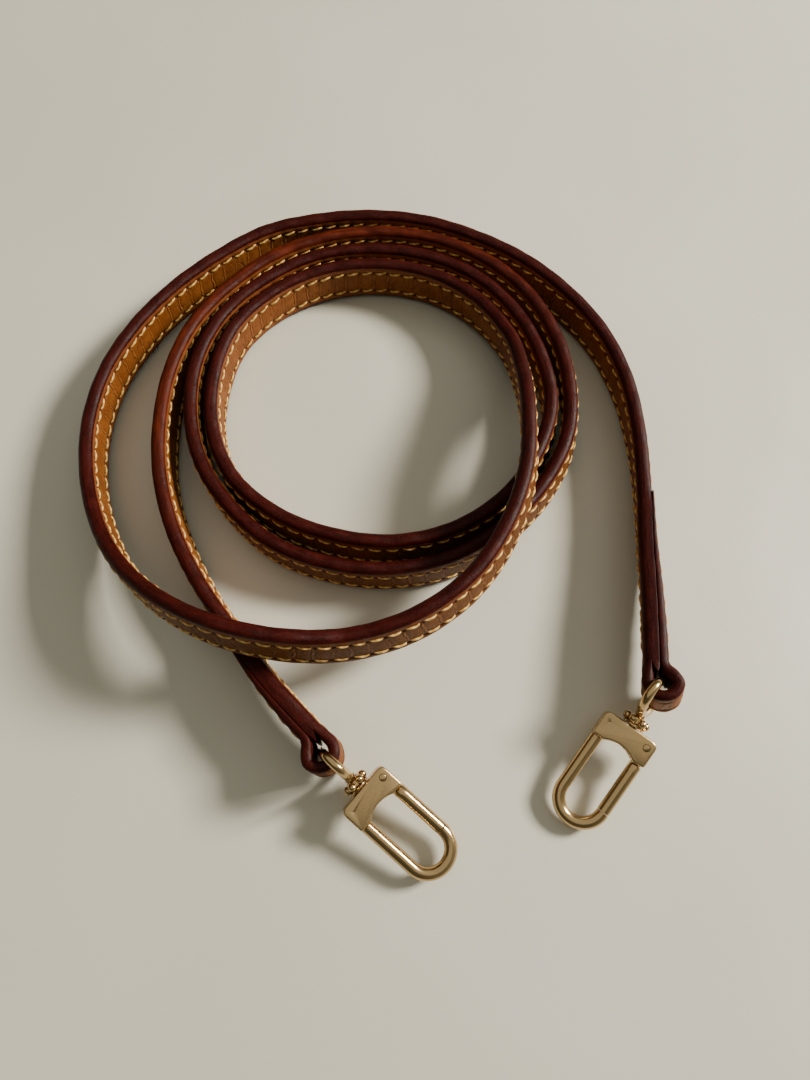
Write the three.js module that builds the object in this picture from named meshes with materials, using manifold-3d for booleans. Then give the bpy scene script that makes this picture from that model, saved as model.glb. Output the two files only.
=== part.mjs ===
// A leather shoulder-bag strap with a brass swivel snap clasp at each end, lying loosely coiled on its edge.
// Millimetres, +Z up. The origin is under the middle of the whole object, on the surface that it lies on.
import * as THREE from 'three';
import { mergeVertices } from 'three/addons/utils/BufferGeometryUtils.js';
import Module from 'manifold-3d';

const wasm = await Module();
wasm.setup();

// Strap: two leather layers, 12 mm wide and 3.2 mm thick together
const STRAP_WIDTH = 12;
const TOP_LAYER = 1.7;
const LINING = 1.3;
const GLUE_GAP = 0.2;
const HALF_STRAP = (TOP_LAYER + GLUE_GAP + LINING) / 2;
const LEATHER_CHAMFER = 0.45;

// The top layer runs on past the lining, round the clasp's eye, and back along the lining as a sewn tail
const TAIL_RIGHT = 39;
const TAIL_LEFT = 27;
const TAIL_FULL = 5;
const TAIL_TIP = 0.5;
const TAIL_GAP = 0.25;
const LOOP_RADIUS = 3.25;
const LOOP_REACH = 4.1;
const LOOP_OFFSET = 2.1;
const TOP_OFFSET = -HALF_STRAP + TOP_LAYER / 2;
const TAIL_FACE = HALF_STRAP + TAIL_GAP;

// Stitching: a row near each edge, a thread on each face
const STITCH_ROW = 3.25;
const THREAD_WIDTH = 0.7;
const THREAD_PROUD = 0.25;
const THREAD_LIFT = 0.14;
const STITCH_END = 1.5;

// Eye: a closed wire D, whose straight far bar stands in the leather loop, on a shank
const EYE_WIRE = 1.9;
const EYE_HALF = 7.9;
const EYE_LENGTH = 7.0;
const SHANK = 1.7;
const EYE_RIGHT = [3.85, 1.7];
const EYE_LEFT = [4.0, 1.9];
const DIP_RIGHT = 13;
const DIP_LEFT = 10.5;

// Clasp, along its own X from the middle of the eye's far bar
const COLLAR_MIDDLE = 8.7;
const BLOCK_START = 10.25;
const BLOCK_LENGTH = 5.6;
const BLOCK_WIDTH = 12.1;
const BLOCK_THICK = 3.8;
const BLOCK_CORNER = 1.2;
const BLOCK_BEVEL = 0.35;
const ARC_DEPTH = 1.05;
const BOW_LENGTH = 24.0;
const BOW_WIRE = 2.7;
const OPENING = 6.7;
const ARM = (OPENING + BOW_WIRE) / 2;
const GATE_SEAM = 0.25;
const GATE_LENGTH = 11.9;
const PIN_IN = 1.9;
const PIN_SIDE = 4.3;
const PIN_WIRE = 1.4;
const FIT = 0.15;
const HEAD_BORE = 3.2;
const HEAD_DEPTH = 2.7;

// Leathers and metals
const COLOURS = {
  topLeather: { color: 0x8a4a22, roughness: 0.55, metalness: 0 },
  lining: { color: 0x9c6230, roughness: 0.6, metalness: 0 },
  thread: { color: 0xd9a441, roughness: 0.7, metalness: 0 },
  brass: { color: 0xc9a458, roughness: 0.22, metalness: 1 },
  steel: { color: 0x9a968c, roughness: 0.35, metalness: 1 },
};

// Middle of the strap's section, hand-laid from the right-hand clasp to the left-hand one:
// x, y, z and how far the top edge leans out of the coil, in degrees
const ROUTE = [
  [60, -39.1, 9.2, -16], [61.3, -25.3, 8.4, -16], [62.4, -11.5, 7, -15], [63.4, 2.4, 6.5, -12],
  [63.3, 16.3, 6.5, -8], [61.5, 30.1, 6.4, -4], [56.8, 43.2, 6.4, -2], [48.9, 54.7, 6.4, 0],
  [38.9, 64.4, 6.4, 0], [27, 71.6, 6.4, 0], [14, 76.6, 6.4, 0], [0.2, 78.4, 6.4, 0],
  [-13.6, 77.3, 6.4, 0], [-27, 73.6, 6.4, 0], [-38.6, 65.9, 6.4, 0], [-48.8, 56.4, 6.4, 0],
  [-57.1, 45.3, 6.4, 0], [-62.9, 32.7, 6.4, 0], [-65.1, 18.9, 6.5, 0], [-63.5, 5.2, 7.5, -1],
  [-58.7, -7.7, 9.8, -1], [-51.3, -18.8, 13.6, -3], [-41.3, -27.6, 17.5, -6], [-29.2, -33.8, 20.4, -9],
  [-15.7, -36.7, 20, -10], [-2.1, -36, 17.8, -10], [11.2, -31.9, 18.8, -10], [22.4, -23.8, 19.5, -10],
  [30.2, -12.4, 19.3, -11], [34.8, 0.7, 19.4, -11], [35.9, 14.5, 18.5, -9], [35.7, 27.7, 14.1, -7],
  [33.5, 40.5, 9.3, -4], [26.4, 52.2, 7, -1], [15.2, 60.1, 6.3, 0], [1.6, 62.9, 6.4, 0],
  [-12.1, 61.1, 6.4, 0], [-24.4, 54.5, 6.4, 0], [-33.4, 44.1, 6.4, 0], [-37, 30.7, 6.4, 0],
  [-36.4, 16.8, 6.4, -1], [-30.9, 4.1, 6.4, -2], [-20.5, -5.1, 6.4, -3], [-7.7, -10.3, 6.4, -3],
  [6.2, -11.9, 6.4, -3], [19.7, -8.8, 6.4, -4], [31.3, -1.1, 6.4, -6], [39.4, 10, 6.3, -7],
  [43.5, 23.2, 6.3, -7], [41.4, 36.9, 6.4, -4], [35.5, 49.5, 6.4, -2], [25.9, 59.6, 6.4, 0],
  [13.5, 65.7, 6.4, 0], [-0.3, 67.6, 6.4, 0], [-14, 65.5, 6.4, 0], [-26.1, 58.6, 6.4, 0],
  [-35.7, 48.6, 6.4, 1], [-41.1, 35.9, 6.4, 1], [-41.9, 22, 6.4, 0], [-38.5, 8.6, 6.4, 0],
  [-30.9, -3, 6.4, -1], [-20.3, -12.1, 6.4, 0], [-7.3, -16.9, 6.4, 0], [6.6, -18, 6.4, -1],
  [20.1, -14.9, 6.4, -3], [31.7, -7.3, 6.4, -5], [41.1, 3, 6.4, -8], [47.1, 15.4, 6.3, -9],
  [48.2, 29.3, 6.3, -8], [45.3, 42.8, 6.4, -5], [38.7, 55.1, 6.4, -2], [28.7, 64.7, 6.4, 0],
  [16.3, 70.9, 6.4, 0], [2.6, 73.2, 6.4, 0], [-11.2, 71.5, 6.4, 0], [-24, 66.1, 6.4, 0],
  [-34.6, 57.1, 6.4, 0], [-42.9, 45.9, 6.4, 1], [-47.4, 32.8, 6.4, 1], [-48.5, 18.9, 6.4, 2],
  [-47.1, 5.1, 6.4, 2], [-42.8, -8.1, 6.4, 3], [-36.2, -20.4, 6.4, 2], [-27.9, -31.6, 6.7, 2],
  [-19.2, -42.2, 9.2, 1], [-9.5, -52.2, 9.5, 0],
];
const STEPS = 3;

function material(slot) {
  return new THREE.MeshStandardMaterial(COLOURS[slot]);
}

function part(name, geometry, slot) {
  const mesh = new THREE.Mesh(geometry, material(slot));
  mesh.name = name;
  return mesh;
}

// ---- meshes and solids ----

function closedGeometry(positions, indices) {
  const geometry = new THREE.BufferGeometry();
  geometry.setAttribute('position', new THREE.Float32BufferAttribute(positions, 3));
  geometry.setIndex(indices);
  return geometry;
}

function toSolid(source) {
  const bare = source.clone();
  bare.deleteAttribute('normal');
  bare.deleteAttribute('uv');
  const merged = mergeVertices(bare, 1e-4);
  const vertProperties = new Float32Array(merged.attributes.position.array);
  const triVerts = new Uint32Array(merged.index.array);
  return new wasm.Manifold(new wasm.Mesh({ numProp: 3, vertProperties, triVerts }));
}

function fromSolid(solid) {
  const { vertProperties, triVerts } = solid.getMesh();
  return closedGeometry(Array.from(vertProperties), Array.from(triVerts));
}

function join(...pieces) {
  return fromSolid(pieces.map(toSolid).reduce((whole, piece) => whole.add(piece)));
}

function cut(body, ...tools) {
  return fromSolid(tools.map(toSolid).reduce((whole, tool) => whole.subtract(tool), toSolid(body)));
}

function cylinder(radius, length, segments = 24) {
  return new THREE.CylinderGeometry(radius, radius, length, segments);
}

function box(x, y, z) {
  return new THREE.BoxGeometry(x, y, z);
}

// Joins one section, given as [across, up] points in order, through the stations.
// Each station has a place, an up direction along the strap's width, and a thinning of the across axis.
function sweep(stations, section, closed = false) {
  const count = stations.length;
  const ring = section.length;
  const positions = [];
  stations.forEach(({ place, up, thin = 1 }, i) => {
    const before = stations[closed ? (i + count - 1) % count : Math.max(i - 1, 0)].place;
    const after = stations[closed ? (i + 1) % count : Math.min(i + 1, count - 1)].place;
    const along = after.clone().sub(before).normalize();
    const across = along.clone().cross(up).normalize();
    const upright = across.clone().cross(along);
    for (const [a, u] of section) {
      const point = place.clone().addScaledVector(across, a * thin).addScaledVector(upright, u);
      positions.push(point.x, point.y, point.z);
    }
  });
  const indices = [];
  for (let i = 0; i < (closed ? count : count - 1); i++) {
    const next = (i + 1) % count;
    for (let j = 0; j < ring; j++) {
      const k = (j + 1) % ring;
      const [a, b, c, d] = [i * ring + j, i * ring + k, next * ring + k, next * ring + j];
      if (section[j][1] > section[k][1]) indices.push(a, b, c, a, c, d);
      else indices.push(b, c, d, b, d, a);
    }
  }
  if (!closed) {
    for (let j = 1; j < ring - 1; j++) {
      indices.push(0, j + 1, j);
      const end = (count - 1) * ring;
      indices.push(end, end + j, end + j + 1);
    }
  }
  return closedGeometry(positions, indices);
}

function roundSection(radius, sides) {
  const points = [];
  for (let i = 0; i < sides; i++) {
    const angle = -2 * Math.PI * (i + 0.5) / sides;
    points.push([radius * Math.cos(angle), radius * Math.sin(angle)]);
  }
  return points;
}

// ---- strap ----

// Catmull-Rom through the route's rows
function routeRows() {
  const ends = [ROUTE[0].map((v, c) => 2 * v - ROUTE[1][c]), ROUTE.at(-1).map((v, c) => 2 * v - ROUTE.at(-2)[c])];
  const rows = [ends[0], ...ROUTE, ends[1]];
  const out = [];
  for (let i = 1; i < rows.length - 2; i++) {
    const [p, q, r, s] = rows.slice(i - 1, i + 3);
    for (let step = 0; step < STEPS; step++) {
      const t = step / STEPS;
      out.push(q.map((_, c) => 0.5 * (2 * q[c] + (r[c] - p[c]) * t
        + (2 * p[c] - 5 * q[c] + 4 * r[c] - s[c]) * t * t
        + (3 * q[c] - p[c] - 3 * r[c] + s[c]) * t * t * t)));
    }
  }
  out.push(ROUTE.at(-1));
  return out;
}

// Place, width direction and outward face direction at each step, with the length so far
function strapStations() {
  const rows = routeRows();
  const places = rows.map(([x, y, z]) => new THREE.Vector3(x, y, z));
  let length = 0;
  return places.map((place, i) => {
    if (i > 0) length += place.distanceTo(places[i - 1]);
    const before = places[Math.max(i - 1, 0)];
    const after = places[Math.min(i + 1, places.length - 1)];
    const along = after.clone().sub(before).normalize();
    const level = along.clone().cross(new THREE.Vector3(0, 0, 1)).normalize();
    const lean = THREE.MathUtils.degToRad(rows[i][3]);
    const up = level.clone().cross(along).applyAxisAngle(along, lean);
    return { place, along, up, out: along.clone().cross(up).normalize(), length };
  });
}

const strap = strapStations();
const STRAP_LENGTH = strap.at(-1).length;

function offset(station, distance) {
  return { ...station, place: station.place.clone().addScaledVector(station.out, distance) };
}

// How far a point is from the nearer throat, where the lining ends
function fromThroat(station) {
  return Math.min(station.length, STRAP_LENGTH - station.length);
}

function tailLength(station) {
  return station.length < STRAP_LENGTH / 2 ? TAIL_RIGHT : TAIL_LEFT;
}

// The tail is pared thinner all the way to its tip
function tailThickness(station) {
  const pared = (fromThroat(station) - TAIL_FULL) / (tailLength(station) - TAIL_FULL);
  return THREE.MathUtils.lerp(TOP_LAYER, TAIL_TIP, THREE.MathUtils.clamp(pared, 0, 1));
}

// Outer surface of the sewn layers: the lining, or the tail where it covers it
function outerFace(station) {
  const beyond = fromThroat(station) - tailLength(station);
  if (beyond <= 0) return TAIL_FACE + tailThickness(station);
  const tip = TAIL_FACE + TAIL_TIP;
  return THREE.MathUtils.lerp(tip, HALF_STRAP, Math.min(beyond / 4, 1));
}

// A layer's section, chamfered along the edges of its outer face only: side is +1 or -1
function layerSection(thickness, side) {
  const a = thickness / 2;
  const u = STRAP_WIDTH / 2;
  const c = LEATHER_CHAMFER;
  const points = [[a, c - u], [a - c, -u], [-a, -u], [-a, u], [a - c, u], [a, u - c]];
  return side > 0 ? points : points.map(([across, up]) => [-across, -up]);
}

// The teardrop loop past one end, from the tail's side round to the strap's side
function loopStations(end, outward) {
  const point = (along, across) => ({
    place: end.place.clone().addScaledVector(outward, along).addScaledVector(end.out, across),
    up: end.up,
  });
  const stations = [point(1.2, 3.3), point(2.5, 4.6)];
  for (let i = 0; i <= 10; i++) {
    const angle = Math.PI / 2 - Math.PI * i / 10;
    stations.push(point(LOOP_REACH + LOOP_RADIUS * Math.cos(angle), LOOP_OFFSET + LOOP_RADIUS * Math.sin(angle)));
  }
  stations.push(point(2.2, TOP_OFFSET));
  return stations;
}

function tailStations(towardThroat) {
  const tail = strap.filter((s) => fromThroat(s) <= tailLength(s) && (s.length < STRAP_LENGTH / 2) === towardThroat);
  const laid = tail.map((station) => {
    const thickness = tailThickness(station);
    return { ...offset(station, TAIL_FACE + thickness / 2), thin: thickness / TOP_LAYER };
  });
  return laid.reverse();
}

function topLeather() {
  const first = strap[0];
  const last = strap.at(-1);
  const stations = [
    ...tailStations(true),
    ...loopStations(first, first.along.clone().negate()),
    ...strap.map((station) => offset(station, TOP_OFFSET)),
    ...loopStations(last, last.along).reverse(),
    ...tailStations(false),
  ];
  return sweep(stations, layerSection(TOP_LAYER, -1));
}

function liningLeather() {
  return sweep(strap.map((station) => offset(station, HALF_STRAP - LINING / 2)), layerSection(LINING, 1));
}

// One thread: a low ridge along a row, just clear of the leather
function thread(row, outside) {
  const side = outside ? 1 : -1;
  const sewn = strap.filter((station) => fromThroat(station) >= STITCH_END);
  const section = outside
    ? [[0, row - THREAD_WIDTH / 2], [0, row + THREAD_WIDTH / 2], [THREAD_PROUD, row]]
    : [[0, row + THREAD_WIDTH / 2], [0, row - THREAD_WIDTH / 2], [-THREAD_PROUD, row]];
  const stations = sewn.map((station) => {
    const face = outside ? outerFace(station) : HALF_STRAP;
    return offset(station, side * (face + THREAD_LIFT));
  });
  return sweep(stations, section);
}

// ---- clasp, with its own X from the eye to the bow's end and Z out of its flat front ----

function eyeWire() {
  const outline = [
    [0, -5.2], [0, 0], [0, 5.2], [0.6, 7.0], [2.2, EYE_HALF], [4.2, EYE_HALF - 0.1], [5.9, 6.1], [6.7, 3.2],
    [EYE_LENGTH, 0], [6.7, -3.2], [5.9, -6.1], [4.2, 0.1 - EYE_HALF], [2.2, -EYE_HALF], [0.6, -7.0],
  ];
  const points = outline.map(([x, z]) => new THREE.Vector3(x, 0, z));
  const curve = new THREE.CatmullRomCurve3(points, true, 'centripetal');
  const up = new THREE.Vector3(0, 1, 0);
  const stations = curve.getPoints(42).slice(0, 42).map((place) => ({ place, up }));
  return sweep(stations, roundSection(EYE_WIRE / 2, 10), true);
}

function alongX(geometry, start, length) {
  return geometry.rotateZ(-Math.PI / 2).translate(start + length / 2, 0, 0);
}

const HEAD_FLOOR = BLOCK_START + HEAD_DEPTH;
const HEAD_THICK = 0.9;

function eye() {
  const length = HEAD_FLOOR + 0.35 - EYE_LENGTH;
  const shank = alongX(cylinder(SHANK / 2, length, 16), EYE_LENGTH, length);
  return join(eyeWire(), shank);
}

function eyeHead() {
  return alongX(cylinder(HEAD_BORE / 2 - 0.25, HEAD_THICK, 20), HEAD_FLOOR + 0.5, HEAD_THICK);
}

function collar() {
  const ringRadius = 2.1;
  const bead = 0.85;
  const beads = 6;
  const middle = COLLAR_MIDDLE;
  const sleeve = alongX(cylinder(1.9, 1.4, 24), middle - 0.7, 1.4);
  const pieces = [sleeve];
  for (let i = 0; i < beads; i++) {
    const angle = 2 * Math.PI * i / beads;
    const ball = new THREE.SphereGeometry(bead, 12, 8);
    pieces.push(ball.translate(middle, ringRadius * Math.cos(angle), ringRadius * Math.sin(angle)));
  }
  const bore = alongX(cylinder(SHANK / 2 + FIT, 4, 16), middle - 2, 4);
  const solid = pieces.map(toSolid).reduce((whole, piece) => whole.add(piece)).subtract(toSolid(bore));
  return fromSolid(solid);
}

function swivelWasher() {
  const thick = 0.5;
  const disc = alongX(cylinder(2.3, thick, 24), BLOCK_START - 0.65, thick);
  return cut(disc, alongX(cylinder(SHANK / 2 + FIT, 2, 16), BLOCK_START - 1.4, 2));
}

function blockOutline() {
  const half = BLOCK_WIDTH / 2 - BLOCK_BEVEL;
  const start = BLOCK_START + BLOCK_BEVEL;
  const end = BLOCK_START + BLOCK_LENGTH - BLOCK_BEVEL;
  const corner = BLOCK_CORNER;
  const arcHalf = OPENING / 2 + 0.1;
  const shape = new THREE.Shape();
  shape.moveTo(end, -half);
  shape.lineTo(end, -arcHalf);
  shape.quadraticCurveTo(end - 2 * ARC_DEPTH, 0, end, arcHalf);
  shape.lineTo(end, half);
  shape.lineTo(start + corner, half);
  shape.quadraticCurveTo(start, half, start, half - corner);
  shape.lineTo(start, corner - half);
  shape.quadraticCurveTo(start, -half, start + corner, -half);
  return shape;
}

const TONGUE_THICK = 1.4;
const TONGUE_HALF = 1.35;
const PIN_X = BLOCK_START + PIN_IN;
const SPRING_X = PIN_X + 1.2;
const GATE_SWING = 25;

function block() {
  const body = new THREE.ExtrudeGeometry(blockOutline(), {
    depth: BLOCK_THICK - 2 * BLOCK_BEVEL, bevelThickness: BLOCK_BEVEL, bevelSize: BLOCK_BEVEL,
    bevelSegments: 2, curveSegments: 6,
  }).translate(0, 0, BLOCK_BEVEL - BLOCK_THICK / 2);
  const slotEnd = BLOCK_START + BLOCK_LENGTH + 1;
  const slotStart = PIN_X - TONGUE_HALF - 0.2;
  const slotIn = PIN_SIDE - TONGUE_HALF - 0.15;
  const slot = box(slotEnd - slotStart, BLOCK_WIDTH, TONGUE_THICK + 0.5)
    .translate((slotEnd + slotStart) / 2, slotIn + BLOCK_WIDTH / 2, 0);
  const swing = box(8, 2 * TONGUE_HALF - 0.2, TONGUE_THICK + 0.5).translate(4, 0.15, 0)
    .rotateZ(THREE.MathUtils.degToRad(-GATE_SWING)).translate(PIN_X, PIN_SIDE, 0);
  const shankBore = alongX(cylinder(SHANK / 2 + FIT, 6, 16), BLOCK_START - 1, 6);
  const headBore = alongX(cylinder(HEAD_BORE / 2, 4, 20), HEAD_FLOOR, 4);
  const pinHole = cylinder(PIN_WIRE / 2 + FIT, 6, 16).rotateX(Math.PI / 2).translate(PIN_X, PIN_SIDE, 0);
  const springHole = cylinder(0.65, 2.2, 12).translate(SPRING_X, slotIn, 0);
  const socket = alongX(cylinder(BOW_WIRE / 2 - 0.15, 3, 16), BLOCK_START + BLOCK_LENGTH - 2, 3)
    .translate(0, -ARM, 0);
  return cut(body, slot, swing, shankBore, headBore, pinHole, springHole, socket);
}

const BLOCK_END = BLOCK_START + BLOCK_LENGTH;
const BOW_CENTRE = BLOCK_START + BOW_LENGTH - BOW_WIRE / 2 - ARM;
const GATE_TIP = BLOCK_END + GATE_LENGTH;

function bow() {
  const up = new THREE.Vector3(0, 0, 1);
  const stations = [[BLOCK_END + GATE_SEAM, -ARM], [BOW_CENTRE, -ARM]].map(([x, y]) => (
    { place: new THREE.Vector3(x, y, 0), up }));
  for (let i = 1; i <= 16; i++) {
    const angle = Math.PI * i / 16;
    stations.push({
      place: new THREE.Vector3(BOW_CENTRE + ARM * Math.sin(angle), -ARM * Math.cos(angle), 0), up });
  }
  stations.push({ place: new THREE.Vector3(GATE_TIP + GATE_SEAM, ARM, 0), up });
  const arms = sweep(stations, roundSection(BOW_WIRE / 2, 16));
  const spigot = alongX(cylinder(BOW_WIRE / 2 - 0.3, 2.4, 12), BLOCK_END - 1.7, 2.4).translate(0, -ARM, 0);
  return join(arms, spigot);
}

function gate() {
  const shoulder = 0.5;
  const start = BLOCK_END + GATE_SEAM;
  const rod = new THREE.LatheGeometry([
    new THREE.Vector2(0, start), new THREE.Vector2(BOW_WIRE / 2 - shoulder, start),
    new THREE.Vector2(BOW_WIRE / 2, start + shoulder), new THREE.Vector2(BOW_WIRE / 2, GATE_TIP),
    new THREE.Vector2(0, GATE_TIP),
  ], 16).rotateZ(-Math.PI / 2).translate(0, ARM, 0);
  const knuckle = cylinder(TONGUE_HALF, TONGUE_THICK, 20).rotateX(Math.PI / 2).translate(PIN_X, PIN_SIDE, 0);
  const reach = start + 1 - PIN_X;
  const tongue = box(reach, 2 * TONGUE_HALF - 0.5, TONGUE_THICK)
    .translate(PIN_X + reach / 2, PIN_SIDE + 0.15, 0);
  const pinHole = cylinder(PIN_WIRE / 2 + FIT, 3, 16).rotateX(Math.PI / 2).translate(PIN_X, PIN_SIDE, 0);
  const whole = [rod, knuckle, tongue].map(toSolid).reduce((sum, piece) => sum.add(piece));
  return fromSolid(whole.subtract(toSolid(pinHole)));
}

function gatePin() {
  const length = BLOCK_THICK + 0.1;
  return cylinder(PIN_WIRE / 2, length, 16).rotateX(Math.PI / 2).translate(PIN_X, PIN_SIDE, 0);
}

// A short coil lying in its pocket, which pushes the tongue outward
function gateSpring() {
  const turns = 2;
  const steps = 10;
  const radius = 0.42;
  const start = PIN_SIDE - TONGUE_HALF - 1.1;
  const length = 0.45;
  const stations = [];
  for (let i = 0; i <= turns * steps; i++) {
    const angle = 2 * Math.PI * i / steps;
    const place = new THREE.Vector3(
      SPRING_X + radius * Math.cos(angle), start + length * i / (turns * steps), radius * Math.sin(angle));
    stations.push({ place, up: new THREE.Vector3(0, 1, 0) });
  }
  return sweep(stations, roundSection(0.09, 5));
}

// A clasp's group stands at the middle of the eye's far bar, turned to its heading and dipped to the table.
// The eye also rolls on the swivel's axis, so that its far bar follows the strap's lean.
function clasp(side, end, outward, [reach, across], heading, lowered) {
  const group = new THREE.Group();
  const place = end.place.clone().addScaledVector(outward, reach).addScaledVector(end.out, across);
  group.position.copy(place);
  const turn = new THREE.Quaternion().setFromAxisAngle(
    new THREE.Vector3(0, 0, 1), THREE.MathUtils.degToRad(heading));
  const dip = new THREE.Quaternion().setFromAxisAngle(
    new THREE.Vector3(0, 1, 0), THREE.MathUtils.degToRad(lowered));
  group.quaternion.copy(turn).multiply(dip);
  const sideways = new THREE.Vector3(0, 1, 0).applyQuaternion(group.quaternion);
  const eyeGroup = new THREE.Group();
  eyeGroup.rotation.x = -Math.asin(end.up.dot(sideways));
  eyeGroup.add(part(`eye_${side}`, eye(), 'brass'), part(`eye_head_${side}`, eyeHead(), 'brass'));
  group.add(
    eyeGroup,
    part(`collar_${side}`, collar(), 'brass'),
    part(`swivel_washer_${side}`, swivelWasher(), 'brass'),
    part(`block_${side}`, block(), 'brass'),
    part(`bow_${side}`, bow(), 'brass'),
    part(`gate_${side}`, gate(), 'brass'),
    part(`gate_pin_${side}`, gatePin(), 'brass'),
    part(`gate_spring_${side}`, gateSpring(), 'steel'),
  );
  return group;
}

const HEADING_RIGHT = 233;
const HEADING_LEFT = -40.5;

const bagStrap = new THREE.Group();
bagStrap.add(
  part('strap_top_leather', topLeather(), 'topLeather'),
  part('strap_lining', liningLeather(), 'lining'),
  part('stitching_upper_inside', thread(STITCH_ROW, false), 'thread'),
  part('stitching_lower_inside', thread(-STITCH_ROW, false), 'thread'),
  part('stitching_upper_outside', thread(STITCH_ROW, true), 'thread'),
  part('stitching_lower_outside', thread(-STITCH_ROW, true), 'thread'),
  clasp('right', strap[0], strap[0].along.clone().negate(), EYE_RIGHT, HEADING_RIGHT, DIP_RIGHT),
  clasp('left', strap.at(-1), strap.at(-1).along.clone(), EYE_LEFT, HEADING_LEFT, DIP_LEFT),
);

export default bagStrap;
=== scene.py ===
import math
import random

import bmesh
import bpy
import numpy as np
from mathutils import Matrix, Quaternion, Vector


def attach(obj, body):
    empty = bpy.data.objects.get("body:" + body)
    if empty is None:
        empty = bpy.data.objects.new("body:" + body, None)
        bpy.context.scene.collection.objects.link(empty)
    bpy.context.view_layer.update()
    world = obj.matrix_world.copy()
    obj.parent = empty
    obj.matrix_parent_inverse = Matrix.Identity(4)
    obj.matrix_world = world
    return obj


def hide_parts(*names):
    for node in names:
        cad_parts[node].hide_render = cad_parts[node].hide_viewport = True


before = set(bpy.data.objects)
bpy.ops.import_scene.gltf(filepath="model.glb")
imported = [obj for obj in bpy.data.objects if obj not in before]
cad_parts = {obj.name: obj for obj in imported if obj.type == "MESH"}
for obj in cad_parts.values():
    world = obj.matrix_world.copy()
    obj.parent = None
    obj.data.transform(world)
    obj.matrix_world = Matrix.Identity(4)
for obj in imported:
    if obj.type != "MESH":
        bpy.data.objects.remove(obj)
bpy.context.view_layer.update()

MM = 0.001

# ---- sizes, in millimetres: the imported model's, and a few that only the look needs ----

STRAP_HALF_WIDTH = 6.0
HALF_STRAP = 1.6
GLUE_LINE = 0.15
TOP_THICK = HALF_STRAP + GLUE_LINE
LINING_THICK = HALF_STRAP - GLUE_LINE
TAIL_LENGTHS = {"right": 39.0, "left": 27.0}
TAIL_FULL = 5.0
TAIL_THICK = 1.7
TAIL_TIP = 0.35
TAIL_LIFT = 0.03
EDGE_CROWN = 1.35
TAIL_CROWN = 0.95
COVERED_CROWN_CUT = 1.2
LOOP_THICK = 2.3
LOOP_RADIUS = 2.95
LOOP_REACH = 4.1
LOOP_OFFSET = 2.1
STITCH_ROW = 3.25
STITCH_PITCH = 3.7
STITCH_END = 1.5
STITCH_IN = 0.42
STITCH_OUT = 0.46
STITCH_SLANT = 0.24
THREAD_RADIUS = 0.27
THREAD_SINK = 0.34
BAR_AHEAD = 4.0
BAR_OUT = 1.0

EYE_WIRE = 1.9
EYE_HALF = 7.9
EYE_LENGTH = 7.0
SHANK = 1.7
SHANK_BORE_RADIUS = 1.0
HEAD_BORE = 3.2
HEAD_GAP = 0.25
EYE_PLACES = {"right": (3.85, 1.7), "left": (4.0, 1.9)}
EYE_DIPS = {"right": 13.0, "left": 10.5}
COLLAR_MIDDLE = 8.7
COLLAR_SHIFT = 0.05
COLLAR_BEADS = 6
BEAD_RING = 2.1
BEAD_RADIUS = 0.88
BLOCK_START = 10.25
BLOCK_LENGTH = 5.6
BLOCK_WIDTH = 12.1
BLOCK_THICK = 3.8
BLOCK_END = BLOCK_START + BLOCK_LENGTH
BLOCK_CORNER = 1.5
BLOCK_PRONG = 0.55
BLOCK_EDGE = 0.5
ARC_DEPTH = 1.05
BOW_LENGTH = 24.0
BOW_WIRE = 2.7
OPENING = 6.7
ARM = (OPENING + BOW_WIRE) / 2
GATE_SEAM = 0.1
GATE_LENGTH = 11.9
GATE_TIP = BLOCK_END + GATE_LENGTH
GATE_SWING = -25
PIN_X = BLOCK_START + 1.9
PIN_SIDE = 4.3
PIN_RADIUS = 0.7
PIN_BORE_RADIUS = 0.78
KNUCKLE_RADIUS = 1.35
KNUCKLE_HALF = 0.7
SLOT_HALF = 0.95
SPRING_BORE_RADIUS = 0.65
SOCKET_RADIUS = 0.98
BOW_CENTRE = BLOCK_START + BOW_LENGTH - BOW_WIRE / 2 - ARM
HEAD_FLOOR = BLOCK_START + 2.7
HEADINGS = {"right": 233.0, "left": -40.5}

# Facets of the block smaller than this, in square metres, belong to a rounded edge and are shaded smooth
FLAT_AREA = 4 * MM * MM

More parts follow.
